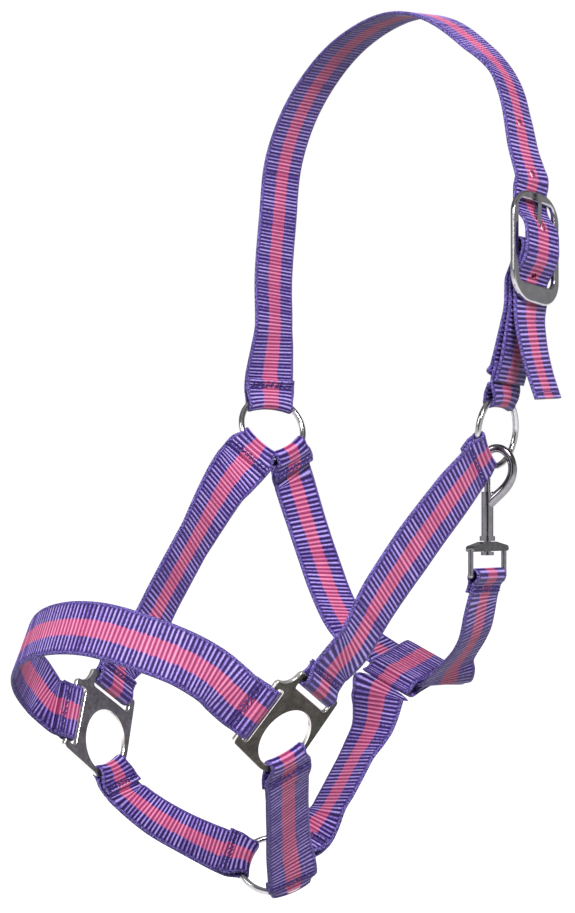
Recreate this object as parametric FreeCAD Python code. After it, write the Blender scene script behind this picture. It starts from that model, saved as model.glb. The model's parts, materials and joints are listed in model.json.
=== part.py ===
import FreeCAD, Part
import math
import os

# Webbing halter (headcollar) for a horse, in the shape it has on the head. Millimetres.
# Origin: underside of the crown strap over the poll. +Z is up, the nose points to -Y, and
# the near (left) side of the horse, with the buckle and the snap hook, is +X.

os.makedirs("parts", exist_ok=True)
V = FreeCAD.Vector

# ---- Driving dimensions ----
WEB_W = 30.0            # webbing width
WEB_T = 2.2             # webbing thickness
LAY_GAP = 0.3           # air between two layers of webbing
FIT = 0.35              # air between webbing and metal
RING_R = 19.0           # ring, to the middle of its wire
RING_WIRE = 1.7         # radius of the ring's wire
PLATE_T = 2.8           # plate thickness
PLATE_HOLE_R = 16.5     # round hole of the plate
PLATE_RIM_R = 20.3      # outside of the rim below that hole
PLATE_EDGE = 0.9        # rounding of the plate's edges
SLOT_ANGLE = 42.0       # each slot's normal, above the plate's side axis
SLOT_LENGTH = 31.8
SLOT_WIDTH = 5.0
SLOT_NEAR = 23.3        # from the plate's centre to the slot's near edge
SLOT_SHIFT = -4.5       # the slot's middle, along the slot
PLATE_BAR = 4.0         # metal outside each slot
BUCKLE_W = 41.0
BUCKLE_H = 61.2
BUCKLE_T = 3.0
BUCKLE_BAR_R = 2.0      # centre bar
BUCKLE_BAR_OUT = -1.0   # the centre bar sits a little behind the frame
HOLE_R = 2.1            # punched hole in the crown strap
HOLE_PITCH = 30.0
SHAFT_R = 3.3           # snap hook's shaft
SHAFT_H = 24.0
COLLAR_R = 4.3          # collar below the shaft
COLLAR_H = 2.6
STEM_R = 1.9            # stem that the eye turns on
STEM_HEAD_R = 3.6
STEM_HEAD_H = 1.9
BOLT_R = 1.65
BOLT_TOP = 42.5         # the closed bolt's end, under the hook's tip
BORE_R = 1.73
BORE_FLOOR = 2.5
KNOB_UP = 20.4          # the thumb knob's stem when the bolt is closed
KNOB_STEM_R = 1.0
KNOB_R = 2.1
BOLT_TRAVEL = 9.0
SPRING_WIRE = 0.3       # radius of the spring's wire
SPRING_PITCH = 1.7
EYE_BAR_R = 1.6
EYE_HALF_W = 15.8       # inside of the snap's eye
EYE_BAR_UP = -21.0      # the eye's lower bar, below the shaft
EYE_TOP_UP = -8.2       # underside of the eye's top bar
STITCH_LENGTH = 2.4
STITCH_PITCH = 3.3
STITCH_COUNT = 8
STITCH_R = 0.4
LOOP_ROOM = 1.8         # air round the throat strap in the jowl strap's loop
STEP = 7.0              # spacing of a strap's sections

HALF_W = WEB_W / 2
HALF_T = WEB_T / 2
LAY = (WEB_T + LAY_GAP) / 2     # a doubled strap's layers lie this far from its middle


# ---- Frames ----
def unit(v):
    return v / v.Length


def across(v, n):
    """The part of v square to the unit vector n, made a unit vector."""
    return unit(v - n * v.dot(n))


class Frame:
    """A local frame: side, up and out (the normal that points away from the horse)."""

    def __init__(self, origin, out, up):
        self.origin = origin
        self.out = unit(out)
        self.up = across(up, self.out)
        self.side = self.up.cross(self.out)

    def at(self, side, up, out=0.0):
        return self.origin + self.side * side + self.up * up + self.out * out

    def place(self, shape):
        """Move a shape drawn with x, y, z = side, up, out into this frame."""
        rotation = FreeCAD.Rotation(self.side, self.up, self.out, "ZXY")
        shape.Placement = FreeCAD.Placement(self.origin, rotation).multiply(shape.Placement)
        return shape


OFF_RING = Frame(V(-86.2, -20, -228.8), V(-0.86, 0.30, -0.41), V(0, 0, 1))
NEAR_RING = Frame(V(85.5, -20, -231.5), V(0.96, 0.17, -0.10), V(0, 0, 1))
CHIN_RING = Frame(V(0, -103.5, -465), V(-0.495, 0.495, -0.71), V(0, 0, 1))
OFF_PLATE = Frame(V(-68.5, -165.8, -398.5), V(-0.98, -0.17, -0.10), V(-0.04, -0.32, 0.95))
NEAR_PLATE = Frame(V(68.5, -165.5, -389.6), V(0.88, -0.04, -0.47), V(0.44, -0.32, 0.84))
BUCKLE = Frame(V(102.0, -8, -133), V(0.989, 0.097, 0.106), V(-0.12, 0.13, 0.984))
SNAP = Frame(V(76.3, -17.5, -288.0), V(0.44, -0.90, 0), V(0, 0, 1))
EYE = Frame(V(76.3, -17.5, -288.0), V(0.98, 0.19, 0), V(0, 0, 1))
LOOP_MID = V(1.5, 1, -362.8)      # where the throat strap runs through the jowl strap
LOOP_HEADING = unit(V(0.86, 0.25, -0.43))
LOOP_NORMAL = across(V(-0.5, 0.18, -0.85), LOOP_HEADING)


# ---- Straps ----
class Hold:
    """What a strap is folded round: a wire, a rim or a bar, seen in section.

    The section is long along flat (half size long_half) and short_half the other way, with
    round corners; over the fold's width its middle wanders by sag along flat. The strap
    leaves along lead. p is measured that way from the section's middle, q along the outward
    normal, and the fold is a half circle of radius turn about p = bend."""

    def __init__(self, centre, width, lead, flat, long_half, short_half, corner, fold_half,
                 sag=0.0, tail=5.0):
        self.centre = centre
        self.width = unit(width)
        self.out_dir = across(lead, self.width)
        self.normal = self.out_dir.cross(self.width)
        along = abs(self.out_dir.dot(unit(flat)))
        aslant = math.sqrt(max(0.0, 1 - along ** 2))
        short = (short_half - corner) * along + (long_half - corner) * aslant + corner + aslant * sag / 2
        long = (long_half - corner) * along + (short_half - corner) * aslant + corner + along * sag / 2
        self.bend = -max(0.0, long - short)
        self.turn = short + FIT + HALF_T
        self.clear = long + FIT
        self.sewn = self.clear + 3.2
        self.tail = self.sewn + tail
        self.fold_half = fold_half
        self.widen_from = self.bend + (self.clear - self.bend) * aslant
        self.widen_to = self.clear + 7.0 * aslant

    def point(self, p, q):
        return self.centre + self.out_dir * p + self.normal * q

    def half_width(self, p):
        share = (p - self.widen_from) / (self.widen_to - self.widen_from)
        share = min(1.0, max(0.0, share))
        return self.fold_half + (HALF_W - self.fold_half) * share

    def profile(self):
        """(p, q) along the fold, from beyond the tail, round the metal, to the tail's cut end."""
        rows = [(self.tail + 0.5, LAY), (self.sewn, LAY), (self.clear, self.turn)]
        if self.clear - self.bend > 3:
            rows.append(((self.clear + self.bend) / 2, self.turn))
        steps = 8
        for i in range(steps + 1):
            turned = math.radians(90 + 180 * i / steps)
            rows.append((self.bend + self.turn * math.cos(turned), self.turn * math.sin(turned)))
        rows += [(p, -q) for p, q in reversed(rows[1:-steps - 1])]
        rows.append((self.tail, -LAY))
        return rows

    def fold(self, leaving):
        """Stations (point, width direction, half width) from the strap's body to its tail."""
        width = self.width * (1 if leaving else -1)
        return [(self.point(p, q), width, self.half_width(p)) for p, q in self.profile()]


def ring_hold(frame, towards, radial=None, fold_half=9.0, tail=5.0):
    """A fold round a ring's wire, led towards a point."""
    radial = across(radial or towards - frame.origin, frame.out)
    sag = RING_R - math.sqrt(RING_R ** 2 - fold_half ** 2)
    centre = frame.origin + radial * (RING_R - sag / 2)
    return Hold(centre, frame.out.cross(radial), towards - centre, radial, RING_WIRE, RING_WIRE,
                RING_WIRE, fold_half, sag + 1.1, tail)


def rim_hold(frame, towards, fold_half=9.0):
    """A fold round the rim below a plate's round hole."""
    radial = across(towards - frame.origin, frame.out)
    middle = (PLATE_HOLE_R + PLATE_RIM_R) / 2
    sag = PLATE_HOLE_R - math.sqrt(PLATE_HOLE_R ** 2 - fold_half ** 2)
    centre = frame.origin + radial * (middle - sag / 2)
    return Hold(centre, frame.out.cross(radial), towards - centre, radial,
                (PLATE_RIM_R - PLATE_HOLE_R) / 2, PLATE_T / 2, PLATE_EDGE, fold_half, sag + 0.5)


def slot_hold(frame, hand, towards):
    """A fold round a plate's slot bar. hand +1 is the slot on the frame's side axis."""
    turned = math.radians(SLOT_ANGLE)
    flat = frame.side * (hand * math.cos(turned)) + frame.up * math.sin(turned)
    width = frame.out.cross(flat)
    along = width if width.dot(frame.up) < 0 else width * -1
    centre = frame.origin + along * SLOT_SHIFT + flat * (SLOT_NEAR + SLOT_WIDTH + PLATE_BAR / 2)
    return Hold(centre, width, towards - centre, flat, PLATE_BAR / 2, PLATE_T / 2, PLATE_EDGE, HALF_W)


def curve(stations, leave, arrive):
    """Stations (point, outward normal) joined by a smooth curve with given end directions."""
    points = [point for point, normal in stations]
    lengths = [(b - a).Length for a, b in zip(points, points[1:])]
    slopes = [unit(leave)]
    for i in range(1, len(points) - 1):
        slopes.append((points[i + 1] - points[i - 1]) / (lengths[i - 1] + lengths[i]))
    slopes.append(unit(arrive))
    rows = []
    for i, length in enumerate(lengths):
        count = max(2, round(length / STEP))
        for k in range(count + (i == len(lengths) - 1)):
            t = k / count
            s = 1 - t
            point = (points[i] * (s * s * (1 + 2 * t)) + points[i + 1] * (t * t * (3 - 2 * t))
                     + slopes[i] * (length * s * s * t) - slopes[i + 1] * (length * t * t * s))
            heading = ((points[i + 1] - points[i]) * (6 * s * t) + slopes[i] * (length * s * (1 - 3 * t))
                       - slopes[i + 1] * (length * t * (2 - 3 * t)))
            normal = stations[i][1] * s + stations[i + 1][1] * t
            rows.append((point, unit(normal.cross(heading)), HALF_W))
    return rows


def strap(rows):
    """A ribbon through rows of (point, width direction, half width), as one solid of flat
    triangles, because a ruled face would warp where the ribbon twists."""
    points = []
    facets = [(0, 3, 2), (0, 2, 1)]
    last = len(rows) - 1
    for i, (point, width, half) in enumerate(rows):
        heading = unit(rows[min(i + 1, last)][0] - rows[max(i - 1, 0)][0])
        wide = across(width, heading)
        thick = heading.cross(wide) * HALF_T
        wide = wide * half
        points += [point - wide - thick, point + wide - thick, point + wide + thick, point - wide + thick]
        for k in range(4 * (i < last)):
            near = 4 * i + k
            beside = 4 * i + (k + 1) % 4
            facets += [(near, beside, beside + 4), (near, beside + 4, near + 4)]
    end = 4 * last
    facets += [(end, end + 1, end + 2), (end, end + 2, end + 3)]
    shell = Part.Shape()
    shell.makeShapeFromMesh((points, facets), 0.001)
    solid = Part.makeSolid(shell)
    if solid.Volume < 0:
        solid.reverse()
    return solid


def between(start, route, end):
    """Rows of a strap from one hold to another, with hand-placed stations between them."""
    first = start.fold(True)
    final = end.fold(False)
    stations = [(first[0][0], start.normal)] + route + [(final[0][0], end.normal)]
    body = curve(stations, start.out_dir, end.out_dir * -1)
    return first[:0:-1] + body + final[1:]


def walk(rows, start, distance):
    """The point, heading and width direction at a distance along the rows from a point."""
    nearest = min(range(len(rows)), key=lambda i: (rows[i][0] - start).Length)
    step = 1 if distance > 0 else -1
    left = abs(distance)
    i = nearest
    while 0 <= i + step < len(rows):
        run = rows[i + step][0] - rows[i][0]
        if run.Length > left:
            return rows[i][0] + unit(run) * left, unit(run) * step, rows[i][1]
        left -= run.Length
        i += step
    raise ValueError("the strap is too short")


def stations(*rows):
    return [(V(*point), V(*normal)) for point, normal in rows]


# ---- Routes of the straps: hand-placed points with the outward normal there ----
crown_route = stations(
    ((-89.2, -16, -172), (-1, 0, 0)),
    ((-92, -13.4, -144), (-1, 0, 0)),
    ((-92, -10, -110), (-1, 0, 0.05)),
    ((-90, -7, -76), (-0.97, 0, 0.2)),
    ((-77.4, -4.3, -46), (-0.8, 0, 0.6)),
    ((-54, -2, -20), (-0.55, 0, 0.83)),
    ((-28, -0.5, -5), (-0.25, 0, 0.97)),
    ((0, 0, 1.1), (0, 0, 1)),
    ((27, 0, -4.5), (0.25, 0, 0.97)),
    ((56.4, 0, -23), (0.6, 0.05, 0.8)),
    ((74.5, -1, -39), (0.82, 0.2, 0.5)),
    ((83, -2, -57), (0.9, 0.22, 0.35)),
    ((89.5, -3, -79), (0.97, 0.15, 0.15)))
# Through the buckle: (up, out) in the buckle's frame.
crown_in_buckle = [(38, -1.8), (33, -2.9), (28, -3.1), (23, -2.8), (18, -0.6), (13, 3.2), (8.5, 4.8),
                   (3, 5.0), (-3, 4.9), (-8.5, 3.2), (-13, 0.0), (-17.5, -2.9), (-22, -3.1), (-29, -3.1)]
crown_tail = stations(
    ((102.1, -12.2, -172), (0.97, 0.15, 0.18)),
    ((104.2, -11, -188), (0.95, 0.2, 0.23)),
    ((107.2, -9.5, -201), (0.94, 0.22, 0.26)),
    ((111.5, -8, -214), (0.93, 0.22, 0.28)))
# The two layers of the buckle strap, in the buckle's frame, from the ring's side.
billet_outer = [(-33, -6.7), (-27, -6.1), (-22, -5.9), (-17.5, -5.7), (-13, -3.2), (-8.5, 0.1), (-3, 2.2)]
billet_inner = [(-3, -4.45), (-8.5, -4.7), (-13, -6.5), (-17.5, -8.6), (-22, -9.0), (-27, -9.1), (-33, -9.6)]
off_cheek_route = stations(
    ((-83, -60, -260), (-0.96, 0.0, -0.2)),
    ((-80, -87.3, -291), (-0.97, -0.17, 0.05)),
    ((-77, -112, -320), (-0.97, -0.17, 0.05)),
    ((-75.2, -132, -345.5), (-0.98, -0.15, 0)))
near_cheek_route = stations(
    ((87.3, -57.8, -266), (0.99, 0.1, 0)),
    ((87.6, -88, -293), (1, 0, 0)),
    ((88.6, -117, -321), (0.98, 0, -0.1)),
    ((88.4, -134, -342.5), (0.94, 0, -0.28)))
nose_route = stations(
    ((-67.6, -214.3, -366.8), (-0.94, -0.2, 0.13)),
    ((-58, -231, -357), (-0.82, -0.48, 0.28)),
    ((-42, -247.3, -346), (-0.5, -0.75, 0.4)),
    ((-22, -255.9, -337), (-0.15, -0.88, 0.45)),
    ((2, -258.7, -332.5), (0, -0.89, 0.45)),
    ((24, -254, -333), (0.15, -0.87, 0.45)),
    ((45, -243, -339.2), (0.45, -0.8, 0.4)),
    ((60, -228.5, -347.2), (0.75, -0.55, 0.28)),
    ((67.2, -213, -357.3), (0.9, -0.38, 0.06)))
off_chin_route = stations(
    ((-57, -156.4, -429), (-0.69, 0.08, -0.7)),
    ((-46.5, -148, -439), (-0.68, 0.18, -0.7)),
    ((-35, -137, -448), (-0.66, 0.25, -0.71)))
near_chin_route = stations(
    ((53, -147, -418), (0.85, 0.07, -0.5)),
    ((40.5, -134.5, -434), (0.84, 0.1, -0.5)),
    ((27, -120, -455), (0.82, 0.05, -0.55)))
jowl_route = stations(
    ((3, -66, -437), (0.1, 0.75, -0.66)),
    ((2.5, -44, -411), (0.1, 0.78, -0.62)),
    ((2.5, -30, -394), (-0.1, 0.74, -0.66)))
throat_route = stations(
    ((-83, -5.5, -259.8), (-0.93, 0.15, -0.33)),
    ((-77, -1.9, -282), (-0.9, 0.1, -0.4)),
    ((-68, -0.5, -304), (-0.88, 0.1, -0.47)),
    ((-54, -3.5, -325), (-0.8, 0.1, -0.6)),
    ((-35, -7.5, -343), (-0.68, 0.16, -0.72)))
throat_route += [(LOOP_MID + LOOP_HEADING * d, LOOP_NORMAL) for d in (-20, -13, 13, 17)]
throat_route += stations(
    ((30, 0.5, -369.5), (-0.2, 0.15, -0.96)),
    ((41, -7.5, -361), (0.5, 0.12, -0.86)),
    ((54, -11, -351), (0.83, 0.12, -0.55)),
    ((64, -14, -341), (0.92, 0.15, -0.36)))


# ---- Where each strap is held ----
def led_by(route, end=False):
    return route[-1 if end else 0][0]


crown_hold = ring_hold(OFF_RING, led_by(crown_route))
off_cheek_top = ring_hold(OFF_RING, led_by(off_cheek_route))
throat_hold = ring_hold(OFF_RING, led_by(throat_route))
near_cheek_top = ring_hold(NEAR_RING, led_by(near_cheek_route))
billet_hold = ring_hold(NEAR_RING, BUCKLE.at(0, -33, -7.3), tail=12.0)
off_cheek_foot = slot_hold(OFF_PLATE, -1, led_by(off_cheek_route, True))
near_cheek_foot = slot_hold(NEAR_PLATE, 1, led_by(near_cheek_route, True))
off_nose_end = slot_hold(OFF_PLATE, 1, led_by(nose_route))
near_nose_end = slot_hold(NEAR_PLATE, -1, led_by(nose_route, True))
off_chin_top = rim_hold(OFF_PLATE, led_by(off_chin_route))
near_chin_top = rim_hold(NEAR_PLATE, led_by(near_chin_route))
off_chin_foot = ring_hold(CHIN_RING, led_by(off_chin_route, True))
near_chin_foot = ring_hold(CHIN_RING, led_by(near_chin_route, True),
                           CHIN_RING.side * -0.5 - CHIN_RING.up * 0.87, fold_half=8.0)
jowl_foot = ring_hold(CHIN_RING, led_by(jowl_route))
eye_hold = Hold(EYE.at(0, EYE_BAR_UP), EYE.side, led_by(throat_route, True) - EYE.at(0, EYE_BAR_UP),
                EYE.up, EYE_BAR_R, EYE_BAR_R, EYE_BAR_R, HALF_W)


def loop_profile():
    """(p, q) round the throat strap: the main layer outside it, the tail inside."""
    turn = WEB_T + LOOP_ROOM
    rows = [(26.5, LAY), (21.0, LAY), (18.0, turn), (9.0, turn), (0.0, turn), (-8.0, turn)]
    for i in range(9):
        turned = math.radians(90 + 180 * i / 8)
        rows.append((-15.0 + turn * math.cos(turned), turn * math.sin(turned)))
    rows += [(-8.0, -turn), (0.0, -turn), (9.0, -turn), (18.0, -turn), (21.0, -LAY), (26.0, -LAY)]
    return rows


# ---- Straps that need more than two folds ----
def crown():
    first = crown_hold.fold(True)
    route = [(first[0][0], crown_hold.normal)] + crown_route
    route += [(BUCKLE.at(0, up, out), BUCKLE.out) for up, out in crown_in_buckle] + crown_tail
    end = unit(route[-1][0] - route[-2][0])
    return first[:0:-1] + curve(route, crown_hold.out_dir, end)


def billet():
    """Two layers between the buckle's centre bar and the ring; the ring loop's tail is sewn
    between them."""
    ring = billet_hold
    bar_turn = BUCKLE_BAR_R + FIT + HALF_T
    width = BUCKLE.out.cross(BUCKLE.up)
    outer_q = 2 * LAY
    outer = [(ring.point(9, outer_q), ring.normal), (ring.point(22, outer_q), ring.normal)]
    outer += [(BUCKLE.at(0, up, out), BUCKLE.out) for up, out in billet_outer]
    outer.append((BUCKLE.at(0, 0, BUCKLE_BAR_OUT + bar_turn), BUCKLE.out))
    rows = curve(outer, ring.out_dir, BUCKLE.up)
    for i in range(1, 8):
        turned = math.pi * i / 8
        point = BUCKLE.at(0, bar_turn * math.sin(turned), BUCKLE_BAR_OUT + bar_turn * math.cos(turned))
        rows.append((point, width, HALF_W))
    inner = [(BUCKLE.at(0, 0, BUCKLE_BAR_OUT - bar_turn), BUCKLE.out * -1)]
    inner += [(BUCKLE.at(0, up, out), BUCKLE.out * -1) for up, out in billet_inner]
    inner += [(ring.point(22, -outer_q), ring.normal * -1), (ring.point(8, -outer_q), ring.normal * -1)]
    rows += curve(inner, BUCKLE.up * -1, ring.out_dir * -1)
    loop = [(p, -q) for p, q in ring.profile()[2:-2]]
    loop += [(ring.sewn + 1.5, 0.0), (ring.sewn + 6, 0.0), (ring.tail, 0.0)]
    rows += [(ring.point(p, q), ring.width, ring.half_width(p)) for p, q in loop]
    return rows


def jowl():
    """From the chin ring up to the loop round the throat strap."""
    first = jowl_foot.fold(True)
    lead = LOOP_NORMAL.cross(LOOP_HEADING)
    loop = [(LOOP_MID + lead * p + LOOP_NORMAL * q, LOOP_HEADING * -1, HALF_W) for p, q in loop_profile()]
    route = [(first[0][0], jowl_foot.normal)] + jowl_route + [(loop[0][0], LOOP_NORMAL)]
    return first[:0:-1] + curve(route, jowl_foot.out_dir, lead * -1) + loop[1:]


# ---- Metal ----
def rounded(corners):
    """A closed wire through (x, y, radius) corners, with each corner rounded."""
    edges = []
    count = len(corners)
    arcs = []
    for i, (x, y, radius) in enumerate(corners):
        here = V(x, y, 0)
        before = unit(V(corners[i - 1][0], corners[i - 1][1], 0) - here)
        after = unit(V(corners[(i + 1) % count][0], corners[(i + 1) % count][1], 0) - here)
        half = before.getAngle(after) / 2
        reach = radius / math.tan(half)
        middle = unit(before + after)
        inside = here + middle * (radius / math.sin(half) - radius)
        arcs.append((here + before * reach, inside, here + after * reach))
    for i, (start, inside, end) in enumerate(arcs):
        edges.append(Part.Arc(start, inside, end).toShape())
        edges.append(Part.makeLine(end, arcs[(i + 1) % count][0]))
    return Part.Wire(edges)


def slab(wire, low, high):
    face = Part.Face(wire)
    face.translate(V(0, 0, low))
    return face.extrude(V(0, 0, high - low))


def rod(start, end, radius):
    run = end - start
    return Part.makeCylinder(radius, run.Length, start, run)


def soften(shape, radius, lowest, highest):
    """Round the edges that lie flat at the two given heights."""
    edges = []
    for edge in shape.Edges:
        box = edge.BoundBox
        if box.ZLength < 1e-4 and min(abs(box.ZMin - lowest), abs(box.ZMin - highest)) < 1e-4:
            edges.append(edge)
    return shape.makeFillet(radius, edges)


def plate():
    """Stamped plate, in its own frame: side, up, out."""
    half = PLATE_T / 2
    turned = math.radians(SLOT_ANGLE)
    normal = V(math.cos(turned), math.sin(turned), 0)
    along = V(math.sin(turned), -math.cos(turned), 0)
    outer = SLOT_NEAR + SLOT_WIDTH + PLATE_BAR
    ear = normal * outer + along * (SLOT_SHIFT - 19.7)
    tip = normal * outer + along * (SLOT_SHIFT + 19.7)
    # The flank runs from the tip to the rim circle as a tangent.
    lean = math.atan2(tip.y, tip.x) - math.acos(PLATE_RIM_R / tip.Length)
    foot = V(math.cos(lean), math.sin(lean), 0) * PLATE_RIM_R
    right = [(ear.x, ear.y, 2.6), (tip.x, tip.y, 2.6), (foot.x, foot.y, 0.5)]
    left = [(-x, y, r) for x, y, r in reversed(right)]
    body = slab(rounded([(0, 33.9, 9.0)] + right + left), -half, half)
    body = body.fuse(Part.makeCylinder(PLATE_RIM_R, PLATE_T, V(0, 0, -half))).removeSplitter()
    body = body.cut(Part.makeCylinder(PLATE_HOLE_R, PLATE_T, V(0, 0, -half)))
    for hand in (1, -1):
        middle = V(normal.x * hand, normal.y, 0) * (SLOT_NEAR + SLOT_WIDTH / 2)
        run = V(along.x * hand, along.y, 0)
        middle += run * SLOT_SHIFT
        out = V(-run.y, run.x, 0)
        corners = []
        for a, b in ((-1, -1), (1, -1), (1, 1), (-1, 1)):
            corner = middle + run * (a * SLOT_LENGTH / 2) + out * (b * SLOT_WIDTH / 2)
            corners.append((corner.x, corner.y, 1.6))
        body = body.cut(slab(rounded(corners), -half, half))
    return soften(body, PLATE_EDGE, -half, half)


def box_corners(half_w, low, high, radius):
    return [(-half_w, low, radius), (half_w, low, radius), (half_w, high, radius), (-half_w, high, radius)]


def buckle_frame():
    half = BUCKLE_T / 2
    half_h = BUCKLE_H / 2
    frame = slab(rounded(box_corners(BUCKLE_W / 2, -half_h, half_h, 15.0)), -half, half)
    frame = frame.cut(slab(rounded(box_corners(HALF_W + 0.9, -20.2, 25.4, 5.0)), -half, half))
    frame = soften(frame, 1.0, -half, half)
    bar = rod(V(-17.5, 0, BUCKLE_BAR_OUT), V(17.5, 0, BUCKLE_BAR_OUT), BUCKLE_BAR_R)
    return BUCKLE.place(frame.fuse(bar))


def buckle_tongue():
    """A loop round the centre bar and a flat prong whose tip rests on the top bar."""
    half = 1.6
    outline = [(1.2, 2.3, 0.2), (3.0, 0.45, 0.2), (30.6, 1.86, 0.6), (30.0, 3.3, 1.0), (24, 3.6, 8.0)]
    prong = slab(rounded([(up, out, r) for up, out, r in outline]), -half, half)
    ring = Part.makeCylinder(3.3, 2 * half, V(0, BUCKLE_BAR_OUT, -half))
    bore = Part.makeCylinder(BUCKLE_BAR_R + 0.06, 2 * half, V(0, BUCKLE_BAR_OUT, -half))
    shape = prong.fuse(ring).cut(bore)
    turn = FreeCAD.Rotation(BUCKLE.up, BUCKLE.out, BUCKLE.side, "ZXY")
    shape.Placement = FreeCAD.Placement(BUCKLE.origin, turn)
    return shape


def snap_body():
    """Shaft with its bore and thumb slot, the hook, and the stem of the swivel."""
    path = [(1.0, 17.5, 2.9), (5.0, 21.3, 3.0), (9.8, 25.8, 2.8), (13.3, 31.5, 2.6), (14.1, 37.2, 2.4),
            (12.7, 42.4, 2.3), (9.0, 46.4, 2.3), (4.4, 47.4, 2.3), (0.8, 45.8, 2.1)]
    rings = []
    for i, (side, up, radius) in enumerate(path):
        before = path[max(i - 1, 0)]
        after = path[min(i + 1, len(path) - 1)]
        heading = V(after[0] - before[0], after[1] - before[1], 0)
        circle = Part.makeCircle(radius, V(side, up, 0), heading)
        rings.append(Part.Wire(circle))
    hook = Part.makeLoft(rings, True, False)
    y = V(0, 1, 0)
    head_low = EYE_TOP_UP - 0.3 - STEM_HEAD_H
    shaft = Part.makeCylinder(SHAFT_R, SHAFT_H, V(0, 0, 0), y)
    shaft = shaft.fuse(Part.makeCylinder(COLLAR_R, COLLAR_H, V(0, -COLLAR_H, 0), y))
    shaft = shaft.fuse(Part.makeCylinder(STEM_R, -head_low - COLLAR_H, V(0, head_low, 0), y))
    shaft = shaft.fuse(Part.makeCylinder(STEM_HEAD_R, STEM_HEAD_H, V(0, head_low, 0), y))
    body = shaft.fuse(hook)
    body = body.cut(Part.makeCylinder(BORE_R, SHAFT_H, V(0, BORE_FLOOR, 0), y))
    half = KNOB_STEM_R + 0.2
    low = KNOB_UP - BOLT_TRAVEL - KNOB_STEM_R - 1.9
    slot = Part.makeBox(2 * half, 14.0, 5.0, V(-half, low, -5.0))
    return SNAP.place(body.cut(slot))


def snap_bolt():
    y = V(0, 1, 0)
    low = KNOB_UP - 3.4
    bolt = Part.makeCylinder(BOLT_R, BOLT_TOP - low, V(0, low, 0), y)
    stem = rod(V(0, KNOB_UP, 0), V(0, KNOB_UP, -4.6), KNOB_STEM_R)
    knob = Part.makeSphere(KNOB_R, V(0, KNOB_UP, -5.4))
    return SNAP.place(bolt.fuse(stem).fuse(knob))


def snap_spring():
    radius = BORE_R - SPRING_WIRE - 0.1
    low = BORE_FLOOR + SPRING_WIRE + 0.1
    height = 8 * SPRING_PITCH
    helix = Part.makeHelix(SPRING_PITCH, height, radius)
    profile = Part.Wire(Part.makeCircle(SPRING_WIRE, V(radius, 0, 0), V(0, 1, 0.2)))
    coil = Part.Wire(helix).makePipeShell([profile], True, True)
    coil.rotate(V(0, 0, 0), V(1, 0, 0), -90)
    coil.translate(V(0, low, 0))
    return SNAP.place(coil)


def snap_eye():
    """Rectangular eye that turns on the stem below the shaft."""
    right = [(EYE_HALF_W + 3.4, EYE_TOP_UP, 1.3), (EYE_HALF_W + 1.8, EYE_TOP_UP + 3.0, 1.4),
             (5.5, -COLLAR_H - 0.4, 3.0)]
    left = [(-side, up, radius) for side, up, radius in reversed(right)]
    eye = slab(rounded(right + left), -2.6, 2.6)
    for hand in (-1, 1):
        low = V(hand * (EYE_HALF_W + 1.5), EYE_BAR_UP, 0)
        eye = eye.fuse(rod(low, V(low.x, EYE_TOP_UP + 0.8, 0), 1.5))
        eye = eye.fuse(Part.makeSphere(EYE_BAR_R, low))
    eye = eye.fuse(rod(V(-EYE_HALF_W - 1.5, EYE_BAR_UP, 0), V(EYE_HALF_W + 1.5, EYE_BAR_UP, 0), EYE_BAR_R))
    eye = eye.cut(Part.makeCylinder(STEM_R + 0.08, 8.0, V(0, EYE_TOP_UP - 1.3, 0), V(0, 1, 0)))
    return EYE.place(eye)


def ring(frame):
    return Part.makeTorus(RING_R, RING_WIRE, frame.origin, frame.out)


# ---- Sewing ----
def stitch_row(hold, p):
    """A row of stitches across the strap on both of its faces, at the distance p."""
    reach = hold.width * (STITCH_LENGTH / 2)
    pieces = []
    for side in (1, -1):
        for i in range(STITCH_COUNT):
            offset = (i - (STITCH_COUNT - 1) / 2) * STITCH_PITCH
            middle = hold.point(p, side * (LAY + HALF_T)) + hold.width * offset
            pieces.append(rod(middle - reach, middle + reach, STITCH_R))
    return pieces


def sewing(*holds):
    pieces = []
    for hold in holds:
        pieces += stitch_row(hold, hold.sewn + 1.0) + stitch_row(hold, hold.sewn + 3.2)
    return Part.makeCompound(pieces)


def save(name, shape):
    solids = shape.Solids
    if not shape.isValid() or not solids:
        raise ValueError("bad shape " + name)
    if len(solids) == 1:
        shape = solids[0]
    shape.exportStep("parts/" + name + ".step")
    print(name, round(shape.Volume), len(solids), len(shape.Faces))


# ---- Build ----
crown_rows = crown()
crown_shape = strap(crown_rows)
tongue_slot = Part.makeBox(4.8, 9.2, 12.0, V(-2.4, 9.0, -3.0))
crown_shape = crown_shape.cut(BUCKLE.place(tongue_slot))
for distance in (-2 * HOLE_PITCH, -HOLE_PITCH, HOLE_PITCH):
    middle, heading, width = walk(crown_rows, BUCKLE.at(0, 13, 3.2), distance)
    through = unit(heading.cross(width)) * (2 * WEB_T)
    crown_shape = crown_shape.cut(rod(middle - through, middle + through, HOLE_R))
save("crown_strap", crown_shape)

billet_shape = strap(billet())
bar_slot = Part.makeBox(5.6, 18.0, 12.0, V(-2.8, -9.0, -7.5))
save("buckle_strap", billet_shape.cut(BUCKLE.place(bar_slot)))

save("off_cheek_strap", strap(between(off_cheek_top, off_cheek_route, off_cheek_foot)))
save("near_cheek_strap", strap(between(near_cheek_top, near_cheek_route, near_cheek_foot)))
save("noseband", strap(between(off_nose_end, nose_route, near_nose_end)))
save("off_chin_strap", strap(between(off_chin_top, off_chin_route, off_chin_foot)))
save("near_chin_strap", strap(between(near_chin_top, near_chin_route, near_chin_foot)))
save("jowl_strap", strap(jowl()))
save("throat_strap", strap(between(throat_hold, throat_route, eye_hold)))

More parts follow.
